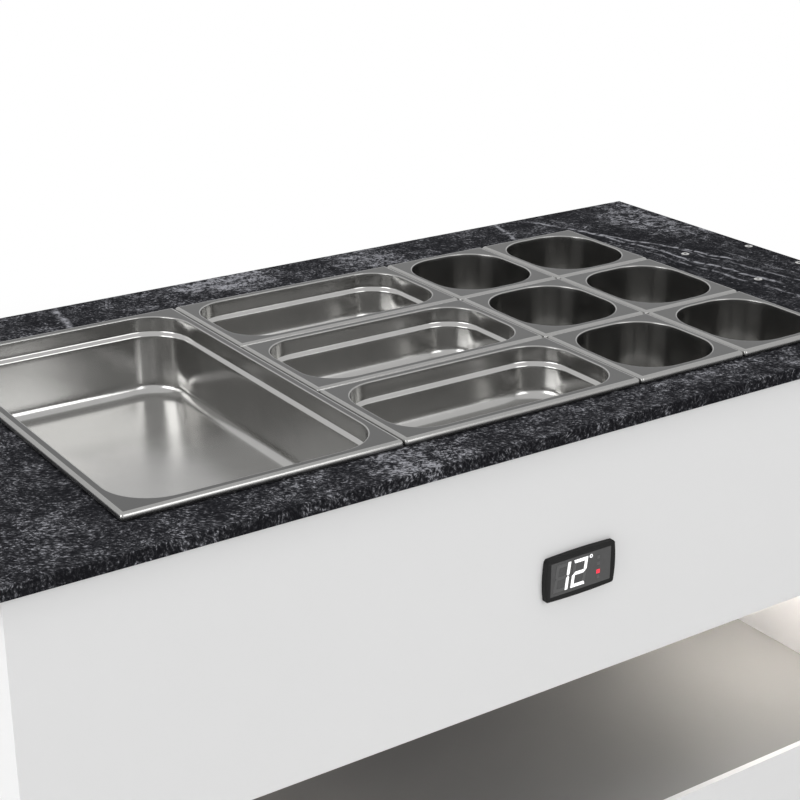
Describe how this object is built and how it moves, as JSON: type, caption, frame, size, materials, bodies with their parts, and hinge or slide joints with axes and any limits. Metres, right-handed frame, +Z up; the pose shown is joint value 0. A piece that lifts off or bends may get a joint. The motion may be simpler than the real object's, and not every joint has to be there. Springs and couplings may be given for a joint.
{
  "type": "refrigerated buffet island",
  "caption": "Refrigerated buffet island: dark stone worktop over a cooled well of lift-out steel pans, white fascia with a digital controller, and an open lit shelf below.",
  "frame": {"origin": "on the floor, under the middle of the worktop", "axes": "+X along the worktop to the right seen from the front, +Y from the front to the back, +Z up"},
  "size_m": [1.354, 0.695, 0.909],
  "materials": {
    "stone": "honed dark stone with fine grey flecks and pale veins",
    "pan_steel": "polished inside, satin on the flange",
    "well_steel": "satin stainless sheet",
    "galvanised": "bright galvanised sheet and tube",
    "foam": null,
    "white_board": "satin white laminated board",
    "niche_board": "grey-beige laminated board",
    "white_steel": "white powder coat",
    "plinth_board": "dark grey board",
    "black_plastic": "fine matt black moulding",
    "smoked_window": "dark translucent window",
    "opal": "opal light strip",
    "rubber": "black rubber",
    "black_enamel": "black enamel, aluminium in weight",
    "grey_plastic": "moulded grey enclosure",
    "aluminium": "mill-finish aluminium",
    "copper": "drawn copper, brass in weight",
    "brass": "machined brass",
    "red_plastic": "dipped red handle"
  },
  "bodies": {
    "island": {"worktop": "stone", "well_liner": "well_steel", "adaptor_bar_left": "well_steel", "adaptor_bar_middle": "well_steel", "adaptor_bar_right": "well_steel", "drain_outlet": "well_steel", "drain_strainer": "well_steel", "well_casing": "galvanised", "chassis_posts": "galvanised", "chassis_rails": "galvanised", "base_plate": "galvanised", "foot_sockets": "galvanised", "fan_shroud": "galvanised", "well_insulation": "foam", "fascia_front": "white_board", "fascia_back": "white_board", "end_panel_left": "white_board", "end_panel_right": "white_board", "lower_front_panel": "white_board", "niche_shelf": "niche_board", "niche_ceiling": "niche_board", "niche_back": "niche_board", "service_panel": "white_steel", "plinth": "plinth_board", "controller_bezel": "black_plastic", "controller_case": "black_plastic", "controller_clips": "black_plastic", "temperature_probe": "black_plastic", "cable_gland": "black_plastic", "controller_window": "smoked_window", "lamp_diffusers": "opal", "compressor_rubbers": "rubber", "compressor": "black_enamel", "fan_motor": "black_enamel", "evaporator_plate": "aluminium", "condenser": "aluminium", "lamp_profiles": "aluminium", "refrigerant_pipes": "copper", "filter_drier": "copper", "electrical_box": "grey_plastic", "drain_valve": "brass"},
    "pan_full": {"pan_full": "pan_steel"},
    "pan_third_front": {"pan_third_front": "pan_steel"},
    "pan_third_middle": {"pan_third_middle": "pan_steel"},
    "pan_third_back": {"pan_third_back": "pan_steel"},
    "pan_sixth_left_front": {"pan_sixth_left_front": "pan_steel"},
    "pan_sixth_left_middle": {"pan_sixth_left_middle": "pan_steel"},
    "pan_sixth_left_back": {"pan_sixth_left_back": "pan_steel"},
    "pan_sixth_right_front": {"pan_sixth_right_front": "pan_steel"},
    "pan_sixth_right_middle": {"pan_sixth_right_middle": "pan_steel"},
    "pan_sixth_right_back": {"pan_sixth_right_back": "pan_steel"},
    "foot_front_left": {"foot_front_left": "black_plastic"},
    "foot_front_right": {"foot_front_right": "black_plastic"},
    "foot_back_left": {"foot_back_left": "black_plastic"},
    "foot_back_right": {"foot_back_right": "black_plastic"},
    "fan_rotor": {"fan_rotor": "aluminium"},
    "drain_lever": {"drain_lever": "red_plastic"}
  },
  "joints": [
    {"name": "pan_full_lift", "type": "slide", "parent": "island", "child": "pan_full", "axis": [0, 0, 1], "range_m": [0, 0.12]},
    {"name": "pan_third_front_lift", "type": "slide", "parent": "island", "child": "pan_third_front", "axis": [0, 0, 1], "range_m": [0, 0.085]},
    {"name": "pan_third_middle_lift", "type": "slide", "parent": "island", "child": "pan_third_middle", "axis": [0, 0, 1], "range_m": [0, 0.085]},
    {"name": "pan_third_back_lift", "type": "slide", "parent": "island", "child": "pan_third_back", "axis": [0, 0, 1], "range_m": [0, 0.085]},
    {"name": "pan_sixth_left_front_lift", "type": "slide", "parent": "island", "child": "pan_sixth_left_front", "axis": [0, 0, 1], "range_m": [0, 0.12]},
    {"name": "pan_sixth_left_middle_lift", "type": "slide", "parent": "island", "child": "pan_sixth_left_middle", "axis": [0, 0, 1], "range_m": [0, 0.12]},
    {"name": "pan_sixth_left_back_lift", "type": "slide", "parent": "island", "child": "pan_sixth_left_back", "axis": [0, 0, 1], "range_m": [0, 0.12]},
    {"name": "pan_sixth_right_front_lift", "type": "slide", "parent": "island", "child": "pan_sixth_right_front", "axis": [0, 0, 1], "range_m": [0, 0.12]},
    {"name": "pan_sixth_right_middle_lift", "type": "slide", "parent": "island", "child": "pan_sixth_right_middle", "axis": [0, 0, 1], "range_m": [0, 0.12]},
    {"name": "pan_sixth_right_back_lift", "type": "slide", "parent": "island", "child": "pan_sixth_right_back", "axis": [0, 0, 1], "range_m": [0, 0.12]},
    {"name": "fan_spin", "type": "hinge", "parent": "island", "child": "fan_rotor", "pos_m": [-0.02, 0.2405, 0.228], "axis": [0, 1, 0], "continuous": true},
    {"name": "drain_lever_turn", "type": "hinge", "parent": "island", "child": "drain_lever", "pos_m": [0.4485, 0.183, 0.176], "axis": [0, -1, 0], "range_deg": [0, 90]},
    {"name": "foot_front_left_level", "type": "slide", "parent": "island", "child": "foot_front_left", "axis": [0, 0, -1], "range_m": [0, 0.02]},
    {"name": "foot_front_right_level", "type": "slide", "parent": "island", "child": "foot_front_right", "axis": [0, 0, -1], "range_m": [0, 0.02]},
    {"name": "foot_back_left_level", "type": "slide", "parent": "island", "child": "foot_back_left", "axis": [0, 0, -1], "range_m": [0, 0.02]},
    {"name": "foot_back_right_level", "type": "slide", "parent": "island", "child": "foot_back_right", "axis": [0, 0, -1], "range_m": [0, 0.02]}
  ]
}
